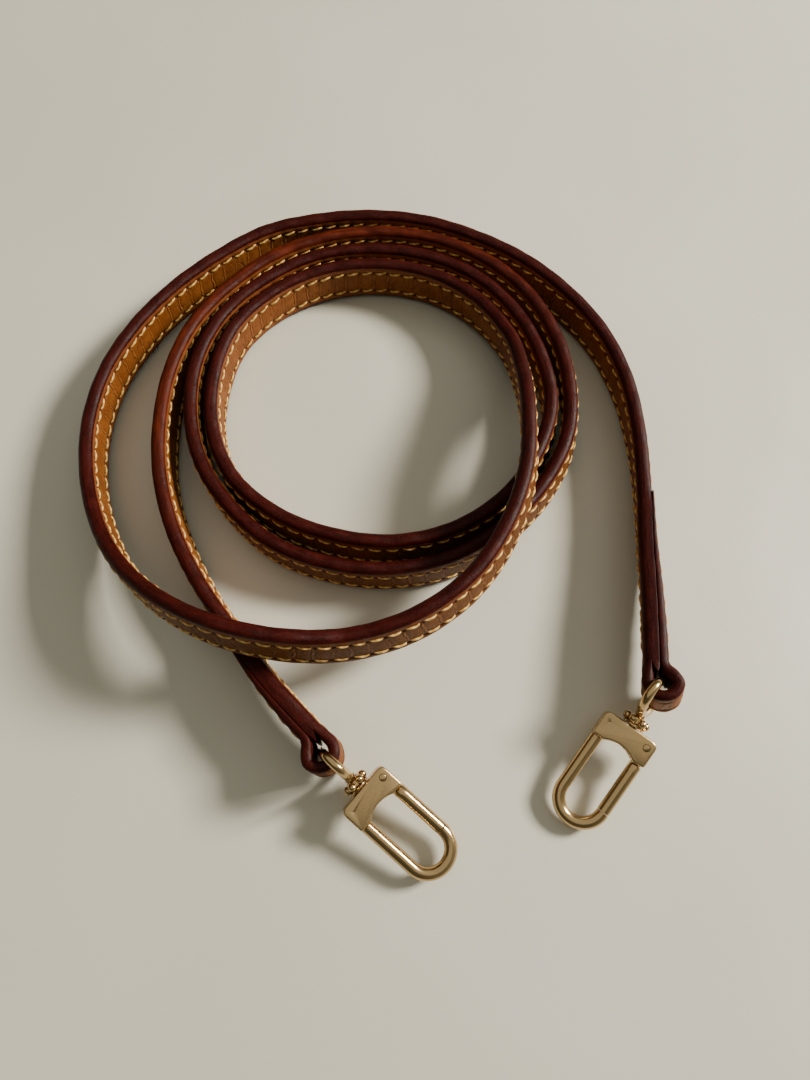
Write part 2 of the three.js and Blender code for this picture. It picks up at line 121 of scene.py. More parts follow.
# Middle of the strap's section from the right-hand clasp to the left-hand one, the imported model's own
# route: x, y, z and how far the top edge leans out of the coil, in degrees
ROUTE = [
    (60, -39.1, 9.2, -16), (61.3, -25.3, 8.4, -16), (62.4, -11.5, 7, -15), (63.4, 2.4, 6.5, -12),
    (63.3, 16.3, 6.5, -8), (61.5, 30.1, 6.4, -4), (56.8, 43.2, 6.4, -2), (48.9, 54.7, 6.4, 0),
    (38.9, 64.4, 6.4, 0), (27, 71.6, 6.4, 0), (14, 76.6, 6.4, 0), (0.2, 78.4, 6.4, 0),
    (-13.6, 77.3, 6.4, 0), (-27, 73.6, 6.4, 0), (-38.6, 65.9, 6.4, 0), (-48.8, 56.4, 6.4, 0),
    (-57.1, 45.3, 6.4, 0), (-62.9, 32.7, 6.4, 0), (-65.1, 18.9, 6.5, 0), (-63.5, 5.2, 7.5, -1),
    (-58.7, -7.7, 9.8, -1), (-51.3, -18.8, 13.6, -3), (-41.3, -27.6, 17.5, -6), (-29.2, -33.8, 20.4, -9),
    (-15.7, -36.7, 20, -10), (-2.1, -36, 17.8, -10), (11.2, -31.9, 18.8, -10), (22.4, -23.8, 19.5, -10),
    (30.2, -12.4, 19.3, -11), (34.8, 0.7, 19.4, -11), (35.9, 14.5, 18.5, -9), (35.7, 27.7, 14.1, -7),
    (33.5, 40.5, 9.3, -4), (26.4, 52.2, 7, -1), (15.2, 60.1, 6.3, 0), (1.6, 62.9, 6.4, 0),
    (-12.1, 61.1, 6.4, 0), (-24.4, 54.5, 6.4, 0), (-33.4, 44.1, 6.4, 0), (-37, 30.7, 6.4, 0),
    (-36.4, 16.8, 6.4, -1), (-30.9, 4.1, 6.4, -2), (-20.5, -5.1, 6.4, -3), (-7.7, -10.3, 6.4, -3),
    (6.2, -11.9, 6.4, -3), (19.7, -8.8, 6.4, -4), (31.3, -1.1, 6.4, -6), (39.4, 10, 6.3, -7),
    (43.5, 23.2, 6.3, -7), (41.4, 36.9, 6.4, -4), (35.5, 49.5, 6.4, -2), (25.9, 59.6, 6.4, 0),
    (13.5, 65.7, 6.4, 0), (-0.3, 67.6, 6.4, 0), (-14, 65.5, 6.4, 0), (-26.1, 58.6, 6.4, 0),
    (-35.7, 48.6, 6.4, 1), (-41.1, 35.9, 6.4, 1), (-41.9, 22, 6.4, 0), (-38.5, 8.6, 6.4, 0),
    (-30.9, -3, 6.4, -1), (-20.3, -12.1, 6.4, 0), (-7.3, -16.9, 6.4, 0), (6.6, -18, 6.4, -1),
    (20.1, -14.9, 6.4, -3), (31.7, -7.3, 6.4, -5), (41.1, 3, 6.4, -8), (47.1, 15.4, 6.3, -9),
    (48.2, 29.3, 6.3, -8), (45.3, 42.8, 6.4, -5), (38.7, 55.1, 6.4, -2), (28.7, 64.7, 6.4, 0),
    (16.3, 70.9, 6.4, 0), (2.6, 73.2, 6.4, 0), (-11.2, 71.5, 6.4, 0), (-24, 66.1, 6.4, 0),
    (-34.6, 57.1, 6.4, 0), (-42.9, 45.9, 6.4, 1), (-47.4, 32.8, 6.4, 1), (-48.5, 18.9, 6.4, 2),
    (-47.1, 5.1, 6.4, 2), (-42.8, -8.1, 6.4, 3), (-36.2, -20.4, 6.4, 2), (-27.9, -31.6, 6.7, 2),
    (-19.2, -42.2, 9.2, 1), (-9.5, -52.2, 9.5, 0),
]
ROUTE_STEPS = 30

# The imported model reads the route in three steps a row, and its clasps hang from that reading
PACKED_STEPS = 3


# ---- camera ----

camera_data = bpy.data.cameras.new("camera")
camera_data.lens = 24.97
camera_data.sensor_width = 36.0
camera_data.clip_start = 0.01
camera = bpy.data.objects.new("camera", camera_data)
camera.location = (0.0085, -0.06765, 0.1656)
camera.rotation_euler = (math.radians(20), 0, 0)
bpy.context.scene.collection.objects.link(camera)
bpy.context.scene.camera = camera


# ---- the strap's line ----

def unit(v):
    return v / np.linalg.norm(v, axis=-1, keepdims=True)


def strap_line(steps):
    """Place, travel, width direction and outward direction along the strap, with the length so far."""
    route = np.array(ROUTE, float)
    rows = np.vstack([2 * route[0] - route[1], route, 2 * route[-1] - route[-2]])
    out = []
    for i in range(1, len(rows) - 2):
        p, q, r, s = rows[i - 1:i + 3]
        for step in range(steps):
            t = step / steps
            out.append(0.5 * (2 * q + (r - p) * t + (2 * p - 5 * q + 4 * r - s) * t ** 2
                              + (3 * q - p - 3 * r + s) * t ** 3))
    out.append(route[-1])
    rows = np.array(out)
    place = rows[:, :3]
    ahead = np.vstack([place[1:], place[-1:]])
    behind = np.vstack([place[:1], place[:-1]])
    along = unit(ahead - behind)
    level = unit(np.cross(along, [0, 0, 1]))
    upright = np.cross(level, along)
    lean = np.radians(rows[:, 3])[:, None]
    up = upright * np.cos(lean) + np.cross(along, upright) * np.sin(lean)
    length = np.concatenate([[0], np.cumsum(np.linalg.norm(np.diff(place, axis=0), axis=1))])
    return {"place": place, "along": along, "up": up, "out": unit(np.cross(along, up)), "length": length}


class Line:
    """The strap's line, read at any length from the right-hand throat."""

    def __init__(self, data):
        self.data = data
        self.total = data["length"][-1]

    def at(self, length, key):
        values = self.data[key]
        lengths = self.data["length"]
        read = np.stack([np.interp(length, lengths, values[:, c]) for c in range(3)], axis=-1)
        return read if key == "place" else unit(read)


strap = Line(strap_line(ROUTE_STEPS))
coarse = strap_line(PACKED_STEPS)


def from_throat(length):
    return np.minimum(length, strap.total - length)


def tail_length(length):
    return np.where(np.asarray(length) < strap.total / 2, TAIL_LENGTHS["right"], TAIL_LENGTHS["left"])


def tail_thickness(length):
    """The sewn tail is pared thinner all the way to its tip."""
    pared = (from_throat(length) - TAIL_FULL) / (tail_length(length) - TAIL_FULL)
    return TAIL_THICK + (TAIL_TIP - TAIL_THICK) * np.clip(pared, 0, 1)


def outer_face(length):
    """Height of the outer face over the middle of the section: the lining, or the tail that covers it."""
    beyond = from_throat(length) - tail_length(length)
    tail = HALF_STRAP + TAIL_LIFT + tail_thickness(length)
    return np.where(beyond <= 0, tail, HALF_STRAP)


def new_object(name, vertices, faces, smooth=True):
    mesh = bpy.data.meshes.new(name)
    mesh.from_pydata([tuple(v) for v in np.asarray(vertices) * MM], [], faces)
    mesh.update()
    if smooth:
        mesh.polygons.foreach_set("use_smooth", [True] * len(mesh.polygons))
    obj = bpy.data.objects.new(name, mesh)
    bpy.context.scene.collection.objects.link(obj)
    return obj


def corner_vertices(obj):
    """The vertex at each face corner."""
    found = np.empty(len(obj.data.loops), np.int32)
    obj.data.loops.foreach_get("vertex_index", found)
    return found


def add_map(obj, name, rows):
    layer = obj.data.uv_layers.new(name=name)
    layer.data.foreach_set("uv", rows.astype(np.float32).ravel())


# ---- leather ----

CROWN_STEPS = 13
FACE_STEPS = 30
GLUE_STEPS = 4
STATION_STEP = 0.4
LOOP_STATIONS = 52
LOOP_MARK_STEP = 0.45

# Reach given to a glued back, well past any painted edge, so the back takes the dark edge paint: painted
# shade for the inside of the loop's hole
BACK_PAINTED_SHADE_REACH = 20.0

# The stitches pull a furrow into the grain, the leather outside it puffs up between one stitch hole and
# the next, and the band between the two rows is a low cushion
FURROW_WIDTH = 0.34
PUFF_OFFSET = 0.95
PUFF_WIDTH = 0.42
CUSHION_HALF = 2.9


def leather_ring(thick, full, crown, side, s):
    """One section of a leather layer, as [across, up, reach] rows going round it.

    Across is from the layer's own middle, and its grain face is on `side`. `full` is 1 where both faces
    have rounded edges and 0 where the back is glued down, so only the grain side is rounded. `s` is the
    length mark. Reach is the distance along the surface from the middle of the grain face, with a sign
    that tells the two edges apart.
    """
    half = thick / 2
    crest = half * (1 - full)
    lump = 0.06 * math.sin(0.83 * s + math.sin(0.11 * s))
    lump += 0.012 * math.sin(2.17 * s + 2.0 * math.sin(0.31 * s))
    flat = STRAP_HALF_WIDTH - crown + lump * min(crown, 1.0)
    turn = np.linspace(0, math.pi, CROWN_STEPS)
    across = np.where(turn <= math.pi / 2, crest + (half - crest) * np.cos(turn),
                      crest + (half + crest) * np.cos(turn))
    rise = flat + crown * np.sin(turn) ** 0.85
    steps = np.hypot(np.diff(across), np.diff(rise))
    reach = flat + np.concatenate([np.cumsum(steps[::-1])[::-1], [0]])
    face = np.linspace(flat, -flat, FACE_STEPS + 2)[1:-1]
    pull = 0.5 + 0.5 * math.cos(2 * math.pi * s / STITCH_PITCH)
    off_row = np.abs(face) - STITCH_ROW
    furrow = np.exp(-(off_row / FURROW_WIDTH) ** 2)
    puff = np.exp(-((off_row - PUFF_OFFSET) / PUFF_WIDTH) ** 2)
    cushion = np.cos(np.clip(face / CUSHION_HALF, -1, 1) * math.pi / 2)
    depth = (0.10 + 0.12 * pull) * furrow
    depth -= (0.02 + 0.16 * (1 - pull) ** 0.7) * puff
    depth -= (0.04 + 0.07 * (1 - pull)) * cushion
    back = np.linspace(-flat, flat, GLUE_STEPS + 2)[1:-1]
    upper = np.stack([across, rise, reach], -1)
    grain = np.stack([-half + depth, face, face], -1)
    lower = np.stack([across, -rise, -reach], -1)[::-1]
    # The glued back's reach paints it with the dark edge colour: painted shade inside the loop
    glued = np.stack([np.full(GLUE_STEPS, half), back, np.full(GLUE_STEPS, BACK_PAINTED_SHADE_REACH)], -1)
    ring = np.vstack([upper, grain, lower, glued])
    if side > 0:
        ring[:, 0] *= -1
    return ring


def leather(name, stations, side):
    """Sweeps the layer through its stations: place, up, thickness, fullness, crown and length mark."""
    place = np.array([s["place"] for s in stations])
    up = np.array([s["up"] for s in stations])
    ahead = np.vstack([place[1:], place[-1:]])
    behind = np.vstack([place[:1], place[:-1]])
    along = unit(ahead - behind)
    across = unit(np.cross(along, up))
    upright = np.cross(across, along)
    vertices, marks = [], []
    for i, station in enumerate(stations):
        mark = station["mark"]
        ring = leather_ring(station["thick"], station["full"], station["crown"], side, mark)
        vertices.append(place[i] + ring[:, :1] * across[i] + ring[:, 1:2] * upright[i])
        marks.append(np.stack([np.full(len(ring), mark), ring[:, 2]], -1))
    count = len(vertices[0])
    faces = []
    for i in range(len(stations) - 1):
        for j in range(count):
            k = (j + 1) % count
            face = (i * count + j, i * count + k, (i + 1) * count + k, (i + 1) * count + j)
            faces.append((face[0], face[3], face[2], face[1]) if side < 0 else face)
    last = (len(stations) - 1) * count
    first_cap = tuple(range(count))
    last_cap = tuple(range(last + count - 1, last - 1, -1))
    faces += [first_cap, last_cap] if side < 0 else [first_cap[::-1], last_cap[::-1]]
    obj = new_object(name, np.vstack(vertices), faces)
    obj.data.set_sharp_from_angle(angle=math.radians(52))
    add_map(obj, "hide", np.vstack(marks)[corner_vertices(obj)])
    return obj


def main_stations(start, stop, offset, thick, squared=False):
    """Stations along the sewn strap; `squared` leaves the edge nearly square where the tail lies on it."""
    lengths = np.linspace(start, stop, int((stop - start) / STATION_STEP) + 1)
    place = strap.at(lengths, "place") + strap.at(lengths, "out") * offset
    up = strap.at(lengths, "up")
    cover = np.clip((tail_length(lengths) + 3 - from_throat(lengths)) / 6, 0, 1) * squared
    return [{"place": place[i], "up": up[i], "thick": thick, "full": 0.0,
             "crown": EDGE_CROWN - COVERED_CROWN_CUT * cover[i], "mark": lengths[i]}
            for i in range(len(lengths))]


def tail_stations(right):
    tail = TAIL_LENGTHS["right" if right else "left"]
    lengths = np.linspace(0, tail, int(tail / STATION_STEP))
    marks = lengths if right else strap.total - lengths
    thick = tail_thickness(marks)
    offset = HALF_STRAP + TAIL_LIFT + thick / 2
    place = strap.at(marks, "place") + strap.at(marks, "out") * offset[:, None]
    up = strap.at(marks, "up")
    return [{"place": place[i], "up": up[i], "thick": thick[i], "full": 0.3,
             "crown": min(TAIL_CROWN, 0.5 * thick[i] + 0.1), "mark": marks[i]}
            for i in range(len(lengths))]


def smooth_path(points, count):
    """Catmull-Rom through points, read at even distances."""
    p = np.array(points, float)
    p = np.vstack([2 * p[0] - p[1], p, 2 * p[-1] - p[-2]])
    fine = []
    for i in range(1, len(p) - 2):
        for step in range(20):
            t = step / 20
            fine.append(0.5 * (2 * p[i] + (p[i + 1] - p[i - 1]) * t
                               + (2 * p[i - 1] - 5 * p[i] + 4 * p[i + 1] - p[i + 2]) * t ** 2
                               + (3 * p[i] - p[i - 1] - 3 * p[i + 1] + p[i + 2]) * t ** 3))
    fine.append(p[-2])
    fine = np.array(fine)
    run = np.concatenate([[0], np.cumsum(np.linalg.norm(np.diff(fine, axis=0), axis=1))])
    even = np.linspace(0, run[-1], count)
    return np.stack([np.interp(even, run, fine[:, c]) for c in range(fine.shape[1])], -1)


def loop_stations(right):
    """The teardrop loop, from the tail's side round to the strap's side."""
    end = 0.0 if right else strap.total
    place, up, out = (strap.at(end, key) for key in ("place", "up", "out"))
    outward = strap.at(end, "along") * (-1 if right else 1)
    tail_across = HALF_STRAP + TAIL_LIFT + TAIL_THICK / 2
    points = [(0.0, tail_across, 0.3), (1.3, 2.85, 0.7), (2.6, 4.1, 1.0)]
    for i in range(11):
        angle = math.pi / 2 - math.pi * i / 10
        reach = LOOP_REACH + LOOP_RADIUS * math.cos(angle)
        points.append((reach, LOOP_OFFSET + LOOP_RADIUS * math.sin(angle), 1.0))
    points += [(2.2, -0.78, 0.8), (0.0, GLUE_LINE - TOP_THICK / 2, 0.0)]
    path = smooth_path(points, LOOP_STATIONS)[1:-1]
    stations = []
    for i, (reach, across, full) in enumerate(path):
        mark = min(i + 1, len(path) - i) * LOOP_MARK_STEP
        thick = LOOP_THICK + (TOP_THICK - LOOP_THICK) * max(0, 1 - full)
        stations.append({"place": place + outward * reach + out * across, "up": up, "thick": thick,
                         "full": full, "crown": EDGE_CROWN + (TAIL_CROWN - EDGE_CROWN) * full,
                         "mark": -mark if right else strap.total + mark})
    return stations


def top_stations():
    stations = tail_stations(True)[::-1] + loop_stations(True)
    stations += main_stations(0.0, strap.total, GLUE_LINE - TOP_THICK / 2, TOP_THICK)
    stations += loop_stations(False)[::-1] + tail_stations(False)
    return stations


def lining_tip(right):
    """The lining's end, pared to a wedge that fills the narrow throat of the loop."""
    end = 0.0 if right else strap.total
    place, up, out = (strap.at(end, key) for key in ("place", "up", "out"))
    outward = strap.at(end, "along") * (-1 if right else 1)
    wedge = ((2.0, 1.15, 0.35), (1.5, 1.1, 0.8), (0.9, 1.0, 1.2), (0.3, 0.9, 1.4))
    return [{"place": place + outward * reach + out * across, "up": up, "thick": thick, "full": 0.0,
             "crown": 0.3, "mark": end}
            for reach, across, thick in wedge]


top_leather = leather("strap_top_leather_look", top_stations(), -1)
lining_middle = GLUE_LINE + LINING_THICK / 2
lining_run = main_stations(0.3, strap.total - 0.3, lining_middle, LINING_THICK, squared=True)
lining = leather("strap_lining_look", lining_tip(True) + lining_run + lining_tip(False)[::-1], 1)

# The strap's centre path, from the bar of one clasp's eye to the bar of the other's
centre_path = strap.at(np.linspace(0, strap.total, 600), "place")
bars = []
for mark, way in ((0.0, -1), (strap.total, 1)):
    place, along, out = (strap.at(mark, key) for key in ("place", "along", "out"))
    bars.append(place + along * way * BAR_AHEAD + out * BAR_OUT)
centre_path = np.vstack([bars[0], centre_path, bars[1]]) * MM


# ---- stitching ----

def thread_faces(rings, sides, start):
    faces = []
    for i in range(rings - 1):
        for j in range(sides):
            k = (j + 1) % sides
            faces.append((start + i * sides + j, start + i * sides + k,
                          start + (i + 1) * sides + k, start + (i + 1) * sides + j))
    faces.append(tuple(start + j for j in range(sides))[::-1])
    faces.append(tuple(start + (rings - 1) * sides + j for j in range(sides)))
    return faces


def stitches(name, row, outside, seed):
    """A row of separate slanted stitches, each from one hole to the next and pulled down at both."""
    rng = random.Random(seed)
    sides, rings = 8, 11
    vertices, faces = [], []
    count = int((strap.total - 2 * STITCH_END - 1) / STITCH_PITCH)
    first = math.ceil(STITCH_END / STITCH_PITCH)
    for n in range(first, first + count):
        start = n * STITCH_PITCH + STITCH_IN + rng.uniform(-0.06, 0.06)
        stop = (n + 1) * STITCH_PITCH - STITCH_OUT + rng.uniform(-0.06, 0.06)
        slant = STITCH_SLANT + rng.uniform(-0.05, 0.05)
        radius = THREAD_RADIUS * rng.uniform(0.94, 1.06)
        lift = rng.uniform(0.10, 0.17)
        t = np.linspace(0, 1, rings)
        marks_along = start + (stop - start) * t
        bow = np.sin(np.pi * t) ** 0.45
        height = -THREAD_SINK + (THREAD_SINK + lift) * bow
        sway = slant * np.cos(np.pi * t) + rng.uniform(-0.04, 0.04)
        place, up, out = (strap.at(marks_along, key) for key in ("place", "up", "out"))
        if outside:
            face = outer_face(marks_along)[:, None]
            centre = place + out * (face + height[:, None])
            normal = out
        else:
            centre = place - out * (HALF_STRAP + height[:, None])
            normal = -out
        centre = centre + up * (row + sway)[:, None]
        travel = unit(np.vstack([centre[1:], centre[-1:]]) - np.vstack([centre[:1], centre[:-1]]))
        side = unit(np.cross(travel, normal))
        normal = np.cross(side, travel)
        taper = 0.72 + 0.28 * np.sin(np.pi * t) ** 0.5
        base = len(vertices) * rings * sides
        ring = []
        for j in range(sides):
            angle = 2 * math.pi * j / sides
            spoke = side * math.cos(angle) * 1.08 + normal * math.sin(angle) * 0.92
            ring.append(centre + spoke * (radius * taper)[:, None])
        vertices.append(np.stack(ring, axis=1).reshape(-1, 3))
        faces += thread_faces(rings, sides, base)
    obj = new_object(name, np.vstack(vertices), faces)
    corners = corner_vertices(obj)
    local = corners % (rings * sides)
    stitch = corners // (rings * sides)
    run = (local // sides) / (rings - 1) * 3.0 + stitch * 7.31
    add_map(obj, "ply", np.stack([run, (local % sides) / sides], -1))
    return obj


stitch_rows = {
    "stitching_upper_inside": stitches("stitches_upper_inside", STITCH_ROW, False, 3),
    "stitching_lower_inside": stitches("stitches_lower_inside", -STITCH_ROW, False, 5),
    "stitching_upper_outside": stitches("stitches_upper_outside", STITCH_ROW, True, 7),
    "stitching_lower_outside": stitches("stitches_lower_outside", -STITCH_ROW, True, 11),
}


# ---- clasps ----

def sweep(points, up, radius, sides=24, closed=False):
    """Vertices and faces of a round wire along points, in millimetres."""
    p = np.array(points, float)
    if closed:
        along = unit(np.roll(p, -1, 0) - np.roll(p, 1, 0))
    else:
        along = unit(np.vstack([p[1:], p[-1:]]) - np.vstack([p[:1], p[:-1]]))
    radius = np.broadcast_to(np.asarray(radius, float), (len(p),))
    across = unit(np.cross(along, np.broadcast_to(up, p.shape)))
    upright = np.cross(across, along)
    vertices = []
    for j in range(sides):
        angle = 2 * math.pi * j / sides
        vertices.append(p + (across * math.cos(angle) + upright * math.sin(angle)) * radius[:, None])
    vertices = np.stack(vertices, 1).reshape(-1, 3)
    count = len(p)
    faces = []
    for i in range(count if closed else count - 1):
        n = (i + 1) % count
        for j in range(sides):
            k = (j + 1) % sides
            faces.append((i * sides + j, n * sides + j, n * sides + k, i * sides + k))
    if not closed:
        faces.append(tuple(range(sides)))
        faces.append(tuple(range(count * sides - 1, (count - 1) * sides - 1, -1)))
    return vertices, faces


def lathe(profile, sides=40):
    """A turned shape about X: profile rows are [x, radius]."""
    vertices, faces = [], []
    for x, r in profile:
        for j in range(sides):
            angle = 2 * math.pi * j / sides
            vertices.append((x, r * math.cos(angle), r * math.sin(angle)))
    rows = len(profile)
    for i in range(rows - 1):
        for j in range(sides):
            k = (j + 1) % sides
            faces.append((i * sides + j, i * sides + k, (i + 1) * sides + k, (i + 1) * sides + j))
    faces.append(tuple(range(sides))[::-1])
    faces.append(tuple(range((rows - 1) * sides, rows * sides)))
    return np.array(vertices), faces


def ball(centre, radius, sides=20, rings=12):
    profile = [(-math.cos(math.pi * (i + 0.02) / (rings + 0.04)) * radius,
                math.sin(math.pi * (i + 0.02) / (rings + 0.04)) * radius) for i in range(rings + 1)]
    vertices, faces = lathe(profile, sides)
    return vertices + np.array(centre), faces


def merge(parts):
    vertices, faces, base = [], [], 0
    for v, f in parts:
        vertices.append(np.asarray(v))
        faces += [tuple(i + base for i in face) for face in f]
        base += len(v)
    return np.vstack(vertices), faces


BOX_FACES = [(0, 1, 3, 2), (4, 6, 7, 5), (0, 4, 5, 1), (2, 3, 7, 6), (0, 2, 6, 4), (1, 5, 7, 3)]


def box(xs, ys, zs):
    """Corners and faces of a box between pairs of limits."""
    return np.array([(x, y, z) for x in xs for y in ys for z in zs], float), BOX_FACES


def round_edge(start, end, steps=5):
    """A rounded shoulder for a lathe profile: from one [x, radius] corner over to the next."""
    (x0, r0), (x1, r1) = start, end
    out = []
    for i in range(steps + 1):
        angle = math.pi / 2 * i / steps
        out.append((x0 + (x1 - x0) * (1 - math.cos(angle)), r0 + (r1 - r0) * math.sin(angle)))
    return out


def eye_shape():
    """The wire eye, smoothed through its outline, and the shank that turns in the block."""
    outline = [(0, -5.2), (0, 0), (0, 5.2), (0.6, 7.0), (2.2, EYE_HALF), (4.2, EYE_HALF - 0.1),
               (5.9, 6.1), (6.7, 3.2), (EYE_LENGTH, 0), (6.7, -3.2), (5.9, -6.1), (4.2, 0.1 - EYE_HALF),
               (2.2, -EYE_HALF), (0.6, -7.0)]
    p = np.array(outline)
    fine = []
    for i in range(len(p)):
        a, b, c, d = (p[(i + k) % len(p)] for k in (-1, 0, 1, 2))
        knots = [0.0]
        for u, v in ((a, b), (b, c), (c, d)):
            knots.append(knots[-1] + math.sqrt(np.linalg.norm(v - u)))
        t0, t1, t2, t3 = knots
        for step in range(10):
            t = t1 + (t2 - t1) * step / 10
            a1 = (t1 - t) / (t1 - t0) * a + (t - t0) / (t1 - t0) * b
            a2 = (t2 - t) / (t2 - t1) * b + (t - t1) / (t2 - t1) * c
            a3 = (t3 - t) / (t3 - t2) * c + (t - t2) / (t3 - t2) * d
            b1 = (t2 - t) / (t2 - t0) * a1 + (t - t0) / (t2 - t0) * a2
            b2 = (t3 - t) / (t3 - t1) * a2 + (t - t1) / (t3 - t1) * a3
            fine.append((t2 - t) / (t2 - t1) * b1 + (t - t1) / (t2 - t1) * b2)
    fine = np.array(fine)
    centre = np.stack([fine[:, 0], np.zeros(len(fine)), fine[:, 1]], -1)
    wire = sweep(centre, (0, 1, 0), EYE_WIRE / 2, closed=True)
    r = SHANK / 2
    shank = lathe([(EYE_LENGTH - 0.4, 0.6), (EYE_LENGTH + 0.3, r + 0.45), (EYE_LENGTH + 0.8, r + 0.1),
                   (EYE_LENGTH + 1.1, r), (HEAD_FLOOR + 0.35, r)])
    return merge([wire, shank])


def head_shape():
    """The shank's rivet head, inside the block."""
    r = HEAD_BORE / 2 - HEAD_GAP
    x = HEAD_FLOOR + 0.5
    return lathe([(x, r - 0.15)] + round_edge((x, r - 0.15), (x + 0.15, r))
                 + [(x + 0.7, r), (x + 0.9, r - 0.3)])


def collar_shape():
    """A short sleeve with a ring of beads, its ends left closed where the shank runs through them."""
    x = COLLAR_MIDDLE + COLLAR_SHIFT
    bore = SHANK_BORE_RADIUS
    parts = [lathe([(x - 0.7, bore), (x - 0.7, 1.7), (x - 0.55, 1.9), (x + 0.55, 1.9), (x + 0.7, 1.7),
                    (x + 0.7, bore)])]
    for i in range(COLLAR_BEADS):
        angle = 2 * math.pi * i / COLLAR_BEADS
        parts.append(ball((x, BEAD_RING * math.cos(angle), BEAD_RING * math.sin(angle)), BEAD_RADIUS))
    return merge(parts)


def washer_shape():
    """The washer against the block, its ends left closed as the collar's are."""
    x = BLOCK_START - 0.65
    bore = SHANK_BORE_RADIUS
    return lathe([(x, bore), (x, 2.1), (x + 0.05, 2.22), (x + 0.15, 2.3), (x + 0.35, 2.3), (x + 0.45, 2.22),
                  (x + 0.5, 2.1), (x + 0.5, bore)])


def bow_shape():
    """The bow's wire: a tenon in the block, the fixed arm, the bend, and the stub that meets the gate."""
    root = BLOCK_END + GATE_SEAM
    r = BOW_WIRE / 2
    points = [(root - 1.6, -ARM, 0), (root - 0.02, -ARM, 0), (root, -ARM, 0), (root + 0.12, -ARM, 0)]
    radii = [r - 0.3, r - 0.3, r - 0.12, r]
    for i in range(1, 12):
        points.append((root + (BOW_CENTRE - root) * i / 12, -ARM, 0))
        radii.append(r)
    for i in range(49):
        angle = math.pi * i / 48
        points.append((BOW_CENTRE + ARM * math.sin(angle), -ARM * math.cos(angle), 0))
        radii.append(r)
    points += [(GATE_TIP + GATE_SEAM + 0.1, ARM, 0), (GATE_TIP + GATE_SEAM, ARM, 0)]
    radii += [r, r - 0.1]
    return sweep(points, (0, 0, 1), radii, sides=32)


def across_pin(profile):
    """A turned shape about the gate's pin: profile rows are [height, radius]."""
    v, f = lathe(profile, 32)
    return v[:, [1, 2, 0]] + np.array([PIN_X, PIN_SIDE, 0]), f


def gate_shape():
    """The gate: a rod that closes the bow, a tongue into the block's slot and a knuckle round the pin."""
    start = BLOCK_END + GATE_SEAM
    r = BOW_WIRE / 2
    profile = [(start, r - 0.45), (start + 0.25, r - 0.12), (start + 0.5, r)]
    profile += [(start + 0.5 + (GATE_TIP - start - 0.6) * i / 8, r) for i in range(1, 9)]
    profile += [(GATE_TIP, r - 0.1)]
    v, f = lathe(profile, 32)
    rod = (v + np.array([0, ARM, 0]), f)
    rim = KNUCKLE_RADIUS - 0.1
    knuckle = across_pin([(-KNUCKLE_HALF, rim), (-0.6, KNUCKLE_RADIUS), (0.6, KNUCKLE_RADIUS),
                          (KNUCKLE_HALF, rim)])
    middle = PIN_SIDE + 0.15
    tongue = box((PIN_X, start + 1), (middle - 1.1, middle + 1.1), (-KNUCKLE_HALF, KNUCKLE_HALF))
    return merge([rod, knuckle, tongue])


def pin_shape():
    """The gate's rivet, whose domed head just shows on both flats of the block."""
    top = BLOCK_THICK / 2 + 0.03
    return across_pin([(-top, 0.1), (-top, 0.5), (-top + 0.06, 0.66), (-top + 0.12, PIN_RADIUS),
                       (top - 0.12, PIN_RADIUS), (top - 0.06, 0.66), (top, 0.5), (top + 0.02, 0.1)])


def quadratic(a, b, c, steps):
    """Points on the curve from a to c that leaves and arrives towards b."""
    return [((1 - t) ** 2 * a[0] + 2 * t * (1 - t) * b[0] + t * t * c[0],
             (1 - t) ** 2 * a[1] + 2 * t * (1 - t) * b[1] + t * t * c[1])
            for t in (i / steps for i in range(steps + 1))]


